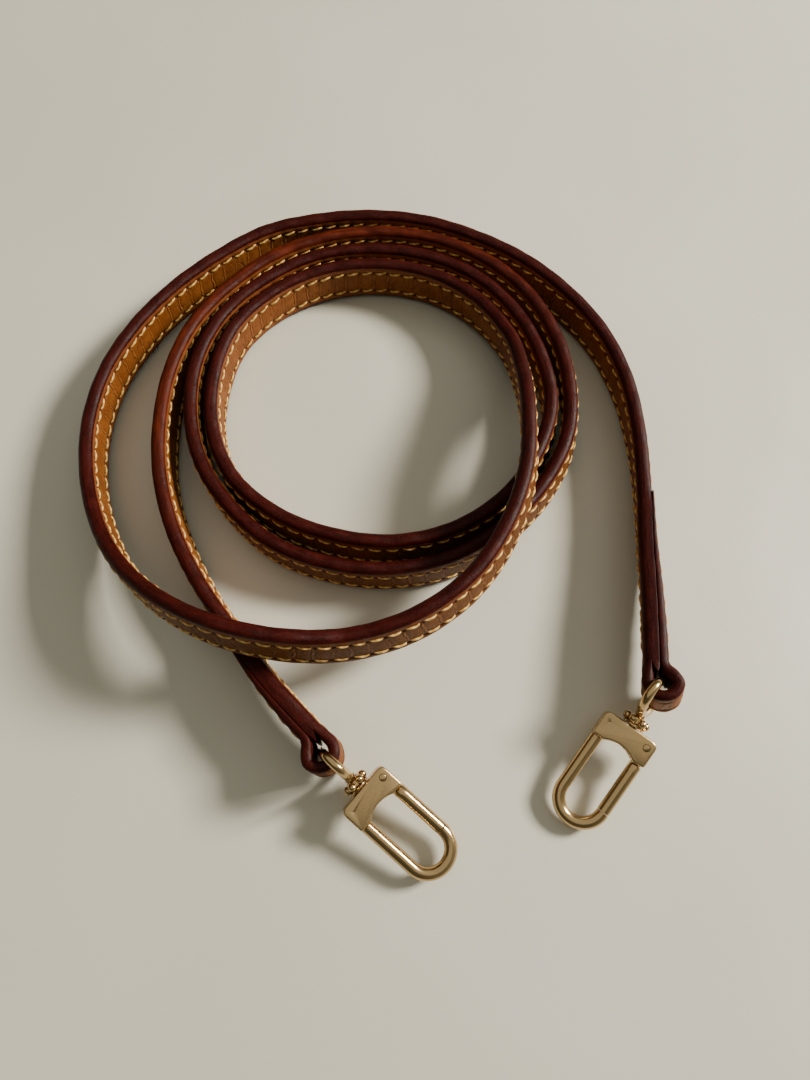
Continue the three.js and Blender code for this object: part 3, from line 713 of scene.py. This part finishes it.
def block_object(name):
    """The block: a flat body with a concave end, round-edged, slotted for the gate and bored."""
    half = BLOCK_WIDTH / 2
    start, end, corner, prong = BLOCK_START, BLOCK_END, BLOCK_CORNER, BLOCK_PRONG
    arc_half = OPENING / 2 + 0.1
    outline = quadratic((end - prong, -half), (end, -half), (end, prong - half), 5)
    outline += quadratic((end, -arc_half), (end - 2 * ARC_DEPTH, 0), (end, arc_half), 20)
    outline += quadratic((end, half - prong), (end, half), (end - prong, half), 5)
    outline += quadratic((start + corner, half), (start, half), (start, half - corner), 6)
    outline += quadratic((start, corner - half), (start, -half), (start + corner, -half), 6)
    bm = bmesh.new()
    low = [bm.verts.new((x * MM, y * MM, -BLOCK_THICK / 2 * MM)) for x, y in outline]
    base = bm.faces.new(low[::-1])
    top = bmesh.ops.extrude_face_region(bm, geom=[base])
    moved = [g for g in top["geom"] if isinstance(g, bmesh.types.BMVert)]
    bmesh.ops.translate(bm, verts=moved, vec=(0, 0, BLOCK_THICK * MM))
    bmesh.ops.recalc_face_normals(bm, faces=bm.faces)
    mesh = bpy.data.meshes.new(name)
    bm.to_mesh(mesh)
    bm.free()
    obj = bpy.data.objects.new(name, mesh)
    bpy.context.scene.collection.objects.link(obj)
    bevel = obj.modifiers.new("edges", "BEVEL")
    bevel.width = BLOCK_EDGE * MM
    bevel.segments = 4
    bevel.limit_method = "ANGLE"
    bevel.angle_limit = math.radians(60)
    slot_in = PIN_SIDE - 1.5
    slot = (-SLOT_HALF, SLOT_HALF)
    swing, swing_faces = box((0, 8), (-1.1, 1.4), slot)
    turn = math.radians(GATE_SWING)
    turned_x = swing[:, 0] * math.cos(turn) - swing[:, 1] * math.sin(turn) + PIN_X
    turned_y = swing[:, 0] * math.sin(turn) + swing[:, 1] * math.cos(turn) + PIN_SIDE
    swing = np.stack([turned_x, turned_y, swing[:, 2]], -1)
    spring_v, spring_f = lathe([(-1.1, SPRING_BORE_RADIUS), (1.1, SPRING_BORE_RADIUS)], 20)
    spring_v = spring_v[:, [1, 0, 2]] * np.array([1, 1, -1]) + np.array([PIN_X + 1.2, slot_in, 0])
    socket_v, socket_f = lathe([(BLOCK_END - 2.0, SOCKET_RADIUS), (BLOCK_END + 1, SOCKET_RADIUS)], 24)
    hollows = [
        box((PIN_X - 1.55, BLOCK_END + 1), (slot_in, half + 1), slot),
        (swing, swing_faces),
        lathe([(HEAD_FLOOR, HEAD_BORE / 2), (HEAD_FLOOR + 4, HEAD_BORE / 2)], 32),
        lathe([(BLOCK_START - 1, SHANK_BORE_RADIUS), (HEAD_FLOOR + 0.2, SHANK_BORE_RADIUS)], 32),
        across_pin([(-3, PIN_BORE_RADIUS), (3, PIN_BORE_RADIUS)]),
        ball((PIN_X, -PIN_SIDE, BLOCK_THICK / 2 + 0.77), 0.85, 28, 16),
        (spring_v, spring_f),
        (socket_v + np.array([0, -ARM, 0]), socket_f),
    ]
    tools = [new_object("cutter", vertices, faces, smooth=False) for vertices, faces in hollows]
    for tool in tools:
        cut = obj.modifiers.new("cut", "BOOLEAN")
        cut.operation = "DIFFERENCE"
        cut.solver = "EXACT"
        cut.object = tool
    depsgraph = bpy.context.evaluated_depsgraph_get()
    made = bpy.data.meshes.new_from_object(obj.evaluated_get(depsgraph))
    obj.modifiers.clear()
    obj.data = made
    for tool in tools:
        bpy.data.objects.remove(tool)
    made.polygons.foreach_set("use_smooth", [p.area < FLAT_AREA for p in made.polygons])
    made.set_sharp_from_angle(angle=math.radians(28))
    return obj


def clasp_matrix(side):
    """Where the clasp hangs, and where its eye does, rolled to lie in line with the strap's width."""
    i = 0 if side == "right" else -1
    place, up, out = (Vector(coarse[key][i]) for key in ("place", "up", "out"))
    outward = Vector(coarse["along"][i]) * (-1 if side == "right" else 1)
    at = place + outward * EYE_PLACES[side][0] + out * EYE_PLACES[side][1]
    turn = Quaternion((0, 0, 1), math.radians(HEADINGS[side]))
    turn = turn @ Quaternion((0, 1, 0), math.radians(EYE_DIPS[side]))
    whole = Matrix.Translation(at * MM) @ turn.to_matrix().to_4x4()
    roll = -math.asin(up.dot(turn @ Vector((0, 1, 0))))
    return whole, whole @ Matrix.Rotation(roll, 4, "X")


brass_pieces = []
for side in ("right", "left"):
    clasp_place, eye_place = clasp_matrix(side)
    made = [
        ("eye", *eye_shape(), eye_place, "eye_assembly"),
        ("eye_head", *head_shape(), eye_place, "eye_assembly"),
        ("collar", *collar_shape(), clasp_place, "clasp"),
        ("swivel_washer", *washer_shape(), clasp_place, "clasp"),
        ("bow", *bow_shape(), clasp_place, "clasp"),
        ("gate_pin", *pin_shape(), clasp_place, "clasp"),
        ("gate", *gate_shape(), clasp_place, "gate_assembly"),
    ]
    for kind, vertices, faces, place, body in made:
        piece = new_object(f"{kind}_{side}_look", vertices, faces)
        piece.data.transform(place)
        piece.data.set_sharp_from_angle(angle=math.radians(35))
        bm = bmesh.new()
        bm.from_mesh(piece.data)
        bmesh.ops.recalc_face_normals(bm, faces=bm.faces)
        bm.to_mesh(piece.data)
        bm.free()
        brass_pieces.append((piece, f"{kind}_{side}", f"{body}_{side}"))
    block = block_object(f"block_{side}_look")
    block.data.transform(clasp_place)
    brass_pieces.append((block, f"block_{side}", f"clasp_{side}"))


# ---- materials ----

class Graph:
    """A material's node tree, built by calls that return sockets."""

    def __init__(self, name):
        self.material = bpy.data.materials.new(name)
        self.material.use_nodes = True
        self.tree = self.material.node_tree
        self.tree.nodes.clear()
        self.surface = self.node("ShaderNodeBsdfPrincipled")
        output = self.node("ShaderNodeOutputMaterial")
        self.tree.links.new(self.surface.outputs[0], output.inputs[0])

    def node(self, kind, **settings):
        made = self.tree.nodes.new(kind)
        for key, value in settings.items():
            setattr(made, key, value)
        return made

    def feed(self, socket, value):
        if isinstance(value, bpy.types.NodeSocket):
            self.tree.links.new(value, socket)
        else:
            socket.default_value = value

    def math(self, operation, a, b=0.0):
        made = self.node("ShaderNodeMath", operation=operation)
        for socket, value in zip(made.inputs, (a, b)):
            self.feed(socket, value)
        return made.outputs[0]

    def times(self, a, b):
        return self.math("MULTIPLY", a, b)

    def plus(self, a, b):
        return self.math("ADD", a, b)

    def minus(self, a, b):
        return self.math("SUBTRACT", a, b)

    def smooth(self, value, low, high, out_low=0.0, out_high=1.0):
        made = self.node("ShaderNodeMapRange", interpolation_type="SMOOTHSTEP")
        for socket, v in zip(made.inputs, (value, low, high, out_low, out_high)):
            self.feed(socket, v)
        return made.outputs[0]

    def mix(self, factor, a, b):
        made = self.node("ShaderNodeMix", data_type="RGBA")
        self.feed(made.inputs[0], factor)
        self.feed(made.inputs[6], a)
        self.feed(made.inputs[7], b)
        return made.outputs[2]

    def uv(self, name):
        made = self.node("ShaderNodeUVMap", uv_map=name)
        split = self.node("ShaderNodeSeparateXYZ")
        self.tree.links.new(made.outputs[0], split.inputs[0])
        return split.outputs[0], split.outputs[1]

    def point(self, scale=(1000, 1000, 1000)):
        """Place on the object: the usual scale turns metres into millimetres."""
        coordinates = self.node("ShaderNodeTexCoord")
        mapping = self.node("ShaderNodeMapping")
        mapping.inputs["Scale"].default_value = scale
        self.tree.links.new(coordinates.outputs["Object"], mapping.inputs[0])
        return mapping.outputs[0]

    def combine(self, x, y, z=0.0):
        made = self.node("ShaderNodeCombineXYZ")
        for socket, v in zip(made.inputs, (x, y, z)):
            self.feed(socket, v)
        return made.outputs[0]

    def noise(self, vector, scale, detail=3.0, roughness=0.5):
        made = self.node("ShaderNodeTexNoise")
        self.tree.links.new(vector, made.inputs["Vector"])
        made.inputs["Scale"].default_value = scale
        made.inputs["Detail"].default_value = detail
        made.inputs["Roughness"].default_value = roughness
        return made.outputs[0]

    def cells(self, vector, scale, feature="F1"):
        made = self.node("ShaderNodeTexVoronoi", feature=feature)
        self.tree.links.new(vector, made.inputs["Vector"])
        made.inputs["Scale"].default_value = scale
        return made.outputs["Distance"]

    def bump(self, height, distance, strength=1.0, normal=None):
        made = self.node("ShaderNodeBump")
        made.inputs["Strength"].default_value = strength
        made.inputs["Distance"].default_value = distance
        self.feed(made.inputs["Height"], height)
        if normal is not None:
            self.tree.links.new(normal, made.inputs["Normal"])
        return made.outputs[0]

    def finish(self, **inputs):
        for key, value in inputs.items():
            self.feed(self.surface.inputs[key.replace("_", " ")], value)
        return self.material


GRAIN_SHADE = (0.085, 0.022, 0.005, 1)
# Painted shade for the needle holes and the thread's channel
STITCH_PAINTED_SHADE = (0.055, 0.014, 0.004, 1)
# Painted shade in the crease hollows, and a painted highlight on the crease ridges
CREASE_PAINTED_SHADE = (0.10, 0.028, 0.006, 1)
CREASE_PAINTED_HIGHLIGHT = (0.46, 0.19, 0.045, 1)
# Painted shade in the wrinkles
WRINKLE_PAINTED_SHADE = (0.10, 0.028, 0.008, 1)
PAINT_RUBBED = (0.17, 0.048, 0.018, 1)
PAINT_DARK = (0.019, 0.0009, 0.0005, 1)
PAINT_RED = (0.040, 0.0023, 0.0007, 1)
PAINT_WORN = (0.125, 0.017, 0.0015, 1)
PAINT_THIN = (0.062, 0.0075, 0.0035, 1)
PAINT_SCUFF = (0.25, 0.07, 0.02, 1)

# The edge paint is worn redder on the coil's last turn, between these lengths along the strap
WORN_FROM = (930.0, 1030.0)
WORN_TO = (1100.0, 1135.0)

# Leather colours in the order light, warm and dark
TOP_TONES = ((0.255, 0.085, 0.015, 1), (0.190, 0.056, 0.009, 1), (0.100, 0.025, 0.004, 1))
LINING_TONES = ((0.150, 0.050, 0.008, 1), (0.115, 0.035, 0.005, 1), (0.062, 0.016, 0.003, 1))

# Thread colours: painted shade between the plies, the thread's gold, and soiled thread
PLY_PAINTED_SHADE = (0.48, 0.26, 0.055, 1)
PLY_GOLD = (0.74, 0.48, 0.15, 1)
PLY_SOILED = (0.40, 0.17, 0.03, 1)

BRASS_SHADE = (0.60, 0.41, 0.20, 1)
BRASS_TARNISH = (0.38, 0.21, 0.085, 1)
STEEL_SHADE = (0.42, 0.41, 0.39, 1)
STEEL_LIGHT = (0.58, 0.57, 0.54, 1)


def leather_material(name, light, warm, dark, patina_seed):
    """Vegetable-tanned leather with painted edges.

    The hide's map gives the length along the strap and the reach across it from the middle of the face.
    """
    g = Graph(name)
    length, reach = g.uv("hide")
    point = g.point()
    away = g.math("ABSOLUTE", reach)
    along = g.combine(g.times(length, 0.045), patina_seed)
    patch = g.noise(along, 1.0, 2.0)
    cloud = g.noise(point, 0.22, 3.0, 0.6)
    mottle = g.noise(point, 1.3, 4.0, 0.65)
    grain = g.noise(point, 7.0, 3.0, 0.7)
    pores = g.cells(point, 3.6)

    tan = g.mix(g.smooth(cloud, 0.36, 0.66), light, warm)
    tan = g.mix(g.smooth(mottle, 0.46, 0.78, 0.0, 0.55), tan, dark)
    tan = g.mix(g.smooth(patch, 0.42, 0.68, 0.0, 0.45), tan, dark)
    tan = g.mix(g.smooth(grain, 0.50, 0.80, 0.0, 0.35), tan, GRAIN_SHADE)

    # One pressed ridge runs from each stitch hole in the upper row to the one in the lower row; painted
    # highlight on the ridge, painted shade beside it
    slanted = g.plus(length, g.times(reach, 0.10))
    wander = g.times(g.minus(g.noise(point, 0.5, 2.0), 0.5), 1.5)
    turns = g.math("DIVIDE", g.plus(slanted, wander), STITCH_PITCH)
    off_crease = g.math("ABSOLUTE", g.minus(g.math("FRACT", g.plus(turns, 0.5)), 0.5))
    crease = g.smooth(off_crease, 0.0, 0.075, 1.0, 0.0)
    valley = g.times(g.smooth(off_crease, 0.05, 0.11), g.smooth(off_crease, 0.11, 0.20, 1.0, 0.0))
    slow = g.noise(g.combine(g.times(length, 0.09), patina_seed + 4.0), 1.0, 2.0)
    stronger = g.smooth(slow, 0.36, 0.58, 0.3, 1.0)
    between = g.times(g.smooth(away, 2.9, 3.3, 1.0, 0.0), stronger)
    crease = g.times(crease, between)
    valley = g.times(valley, between)
    stretched = g.combine(g.times(length, 0.9), g.times(reach, 0.28), patina_seed)
    wrinkles = g.cells(stretched, 1.0, "DISTANCE_TO_EDGE")
    wrinkle = g.smooth(wrinkles, 0.0, 0.06, 1.0, 0.0)
    wrinkle = g.times(wrinkle, g.smooth(g.noise(point, 0.12, 2.0), 0.44, 0.60, 0.0, 0.8))
    wrinkle = g.times(wrinkle, g.smooth(away, 4.0, 4.6, 1.0, 0.0))

    # Painted shade in the needle holes and along the channel that the thread lies in
    step = g.math("DIVIDE", length, STITCH_PITCH)
    off_hole = g.times(g.minus(g.math("FRACT", g.plus(step, 0.5)), 0.5), STITCH_PITCH)
    off_row = g.minus(away, STITCH_ROW)
    spread = g.math("SQRT", g.plus(g.math("POWER", off_hole, 2.0), g.math("POWER", off_row, 2.0)))
    hole = g.smooth(spread, 0.25, 0.75, 1.0, 0.0)
    channel = g.smooth(g.math("ABSOLUTE", off_row), 0.2, 0.75, 0.65, 0.0)
    shade = g.math("MAXIMUM", hole, channel)
    tan = g.mix(g.times(shade, 0.80), tan, STITCH_PAINTED_SHADE)
    # Painted shade in the crease hollows, then a painted highlight on the ridges
    tan = g.mix(g.times(valley, 0.45), tan, CREASE_PAINTED_SHADE)
    tan = g.mix(g.times(crease, 0.22), tan, CREASE_PAINTED_HIGHLIGHT)
    # Painted shade in the wrinkle grooves
    tan = g.mix(g.times(wrinkle, 0.6), tan, WRINKLE_PAINTED_SHADE)

    # Painted edge: dark oxblood, with a paler rubbed band where the paint ends
    ragged = g.times(g.minus(g.noise(point, 0.8, 4.0, 0.65), 0.5), 0.55)
    limit = g.plus(away, ragged)
    paint = g.smooth(limit, 4.78, 5.02)
    rubbed = g.times(g.smooth(limit, 3.95, 4.30), g.smooth(limit, 4.80, 5.05, 1.0, 0.0))
    streak = g.noise(g.combine(g.times(length, 0.22), g.times(reach, 0.9), patina_seed), 1.0, 3.0, 0.5)
    oxblood = g.mix(g.smooth(streak, 0.35, 0.72), PAINT_DARK, PAINT_RED)
    worn = g.times(g.smooth(length, *WORN_FROM, 0.0, 0.7), g.smooth(length, *WORN_TO, 1.0, 0.1))
    oxblood = g.mix(g.times(worn, g.smooth(streak, 0.40, 0.7, 0.35, 1.0)), oxblood, PAINT_WORN)
    oxblood = g.mix(g.smooth(g.noise(point, 2.4, 4.0, 0.75), 0.48, 0.66, 0.0, 0.7), oxblood, PAINT_THIN)
    scuff = g.smooth(g.noise(point, 1.1, 5.0, 0.75), 0.64, 0.73)
    crest = g.smooth(away, 6.9, 7.6, 1.0, 0.35)
    oxblood = g.mix(g.times(g.times(scuff, crest), 0.06), oxblood, PAINT_SCUFF)
    colour = g.mix(g.times(rubbed, 0.7), tan, PAINT_RUBBED)
    colour = g.mix(paint, colour, oxblood)

    roughness = g.plus(g.smooth(mottle, 0.3, 0.7, 0.46, 0.60), g.times(crease, -0.10))
    painted = g.plus(g.smooth(streak, 0.3, 0.75, 0.38, 0.52), g.smooth(away, 9.5, 12.0, 0.0, 0.35))
    shiny = g.node("ShaderNodeMix", data_type="FLOAT")
    g.feed(shiny.inputs[0], paint)
    g.feed(shiny.inputs[2], roughness)
    g.feed(shiny.inputs[3], painted)

    pore_height = g.smooth(pores, 0.05, 0.5)
    tooth = g.plus(g.times(pore_height, 0.35), g.times(grain, 0.5))
    height = g.times(g.minus(1.0, paint), tooth)
    height = g.plus(height, g.times(streak, 0.15))
    height = g.plus(height, g.times(g.times(paint, g.noise(point, 2.6, 4.0, 0.7)), 1.6))
    fine = g.bump(height, 0.00007, 0.8)
    marks = g.minus(g.times(crease, 1.1), g.times(hole, 1.7))
    marks = g.minus(marks, g.plus(g.times(valley, 0.6), g.times(wrinkle, 0.9)))
    marks = g.plus(marks, g.times(paint, 0.7))
    marks = g.plus(marks, g.times(g.noise(point, 0.45, 3.0), 0.8))
    normal = g.bump(marks, 0.00014, 0.9, fine)
    return g.finish(Base_Color=colour, Roughness=shiny.outputs[0], Normal=normal, Specular_IOR_Level=0.13)


def thread_material():
    g = Graph("waxed_thread")
    run, turn = g.uv("ply")
    point = g.point()
    ply = g.math("SINE", g.plus(g.times(run, 4.0), g.times(turn, 2 * math.pi)))
    soil = g.noise(point, 0.5, 4.0, 0.6)
    # Painted shade between the plies, following the twist that the bump also follows
    gold = g.mix(g.smooth(ply, -1.0, 1.0), PLY_PAINTED_SHADE, PLY_GOLD)
    colour = g.mix(g.smooth(soil, 0.50, 0.74, 0.0, 0.6), gold, PLY_SOILED)
    fibre = g.noise(g.point((3000, 3000, 3000)), 1.0, 3.0)
    height = g.plus(g.times(ply, 0.35), g.times(fibre, 0.4))
    roughness = g.smooth(fibre, 0.2, 0.8, 0.40, 0.58)
    return g.finish(Base_Color=colour, Roughness=roughness, Normal=g.bump(height, 0.00006, 0.8))


def brass_material(name, tint, dull):
    """Polished brass: warm gold, with hairlines, faint handling haze and slightly uneven flats."""
    g = Graph(name)
    point = g.point()
    haze = g.noise(point, 0.35, 4.0, 0.6)
    cloud = g.noise(point, 0.25, 3.0)
    hair = g.noise(g.point((900, 12000, 12000)), 0.6, 2.0)
    hairs = g.smooth(hair, 0.60, 0.66)
    tarnish = g.smooth(g.noise(point, 0.6, 4.0, 0.6), 0.60, 0.80)
    colour = g.mix(g.smooth(cloud, 0.35, 0.7), tint, BRASS_SHADE)
    colour = g.mix(g.times(tarnish, 0.14), colour, BRASS_TARNISH)
    roughness = g.smooth(haze, 0.3, 0.75, dull, dull + 0.06)
    roughness = g.plus(roughness, g.times(hairs, 0.04))
    uneven = g.bump(g.noise(point, 0.30, 2.0, 0.4), 0.00018, 0.05)
    normal = g.bump(hairs, 0.000003, 0.4, uneven)
    return g.finish(Base_Color=colour, Metallic=1.0, Roughness=roughness, Normal=normal)


def steel_material():
    g = Graph("spring_wire")
    cloud = g.noise(g.point(), 1.5, 3.0)
    colour = g.mix(g.smooth(cloud, 0.35, 0.7), STEEL_SHADE, STEEL_LIGHT)
    return g.finish(Base_Color=colour, Metallic=1.0, Roughness=g.smooth(cloud, 0.3, 0.7, 0.25, 0.4))


top_hide = leather_material("top_hide", *TOP_TONES, 1.7)
lining_hide = leather_material("lining_hide", *LINING_TONES, 5.3)
waxed_thread = thread_material()
brass = brass_material("polished_brass", (0.56, 0.395, 0.20, 1), 0.15)
flat_brass = brass_material("satin_brass", (0.56, 0.40, 0.205, 1), 0.24)
spring_wire = steel_material()

top_leather.data.materials.append(top_hide)
lining.data.materials.append(lining_hide)
hides = ((top_leather, "strap_top_leather", "top_leather"), (lining, "strap_lining", "lining_leather"))
for piece, node, slot in hides:
    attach(piece, "strap")
    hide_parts(node)
for node, piece in stitch_rows.items():
    piece.data.materials.append(waxed_thread)
    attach(piece, "strap")
    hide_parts(node)
for piece, node, body in brass_pieces:
    piece.data.materials.append(flat_brass if node.startswith("block") else brass)
    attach(piece, body)
    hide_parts(node)
for side in ("right", "left"):
    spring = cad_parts[f"gate_spring_{side}"]
    spring.material_slots[0].material = spring_wire


# ---- table and light ----

def floor():
    """A pale, slightly glossy table top, three metres across."""
    half = 1500.0
    vertices = [(-half, -half, 0), (half, -half, 0), (half, half, 0), (-half, half, 0)]
    made = new_object("table_top", vertices, [(0, 1, 2, 3)], smooth=False)
    g = Graph("pale_table")
    point = g.point()
    cloud = g.noise(point, 0.012, 2.0)
    colour = g.mix(g.smooth(cloud, 0.35, 0.65), (0.61, 0.587, 0.49, 1), (0.64, 0.617, 0.52, 1))
    smear = g.noise(g.point((60, 25, 60)), 1.0, 4.0, 0.6)
    roughness = g.smooth(smear, 0.3, 0.7, 0.28, 0.40)
    made.data.materials.append(g.finish(Base_Color=colour, Roughness=roughness))


def area_light(name, place, target, size, power, colour):
    data = bpy.data.lights.new(name, "AREA")
    data.shape = "RECTANGLE"
    data.size, data.size_y = size
    data.energy = power
    data.color = colour
    light = bpy.data.objects.new(name, data)
    light.location = place
    light.rotation_euler = (Vector(target) - Vector(place)).to_track_quat("-Z", "Y").to_euler()
    bpy.context.scene.collection.objects.link(light)


def surroundings():
    """A dim room with a broad pale side towards the window, for the light that comes from all round."""
    world = bpy.data.worlds.new("room")
    bpy.context.scene.world = world
    world.use_nodes = True
    tree = world.node_tree
    tree.nodes.clear()
    coordinates = tree.nodes.new("ShaderNodeTexCoord")
    split = tree.nodes.new("ShaderNodeSeparateXYZ")
    ramp = tree.nodes.new("ShaderNodeValToRGB")
    side = tree.nodes.new("ShaderNodeMapRange")
    side.inputs[1].default_value = -1.0
    side.inputs[2].default_value = 1.0
    ramp.color_ramp.elements[0].position = 0.0
    ramp.color_ramp.elements[0].color = (0.075, 0.073, 0.056, 1)
    ramp.color_ramp.elements[1].position = 1.0
    ramp.color_ramp.elements[1].color = (0.34, 0.33, 0.27, 1)
    middle = ramp.color_ramp.elements.new(0.55)
    middle.color = (0.12, 0.117, 0.09, 1)
    background = tree.nodes.new("ShaderNodeBackground")
    output = tree.nodes.new("ShaderNodeOutputWorld")
    tree.links.new(coordinates.outputs["Generated"], split.inputs[0])
    tree.links.new(split.outputs[0], side.inputs[0])
    tree.links.new(side.outputs[0], ramp.inputs[0])
    tree.links.new(ramp.outputs[0], background.inputs[0])
    tree.links.new(background.outputs[0], output.inputs[0])


floor()
area_light("window", (0.95, 0.28, 0.68), (0.0, 0.0, 0.0), (0.26, 0.26), 32.0, (1.0, 0.945, 0.85))
area_light("ceiling", (-0.1, 0.3, 1.3), (0, 0, 0), (2.2, 2.2), 6.6, (1.0, 0.96, 0.84))
surroundings()
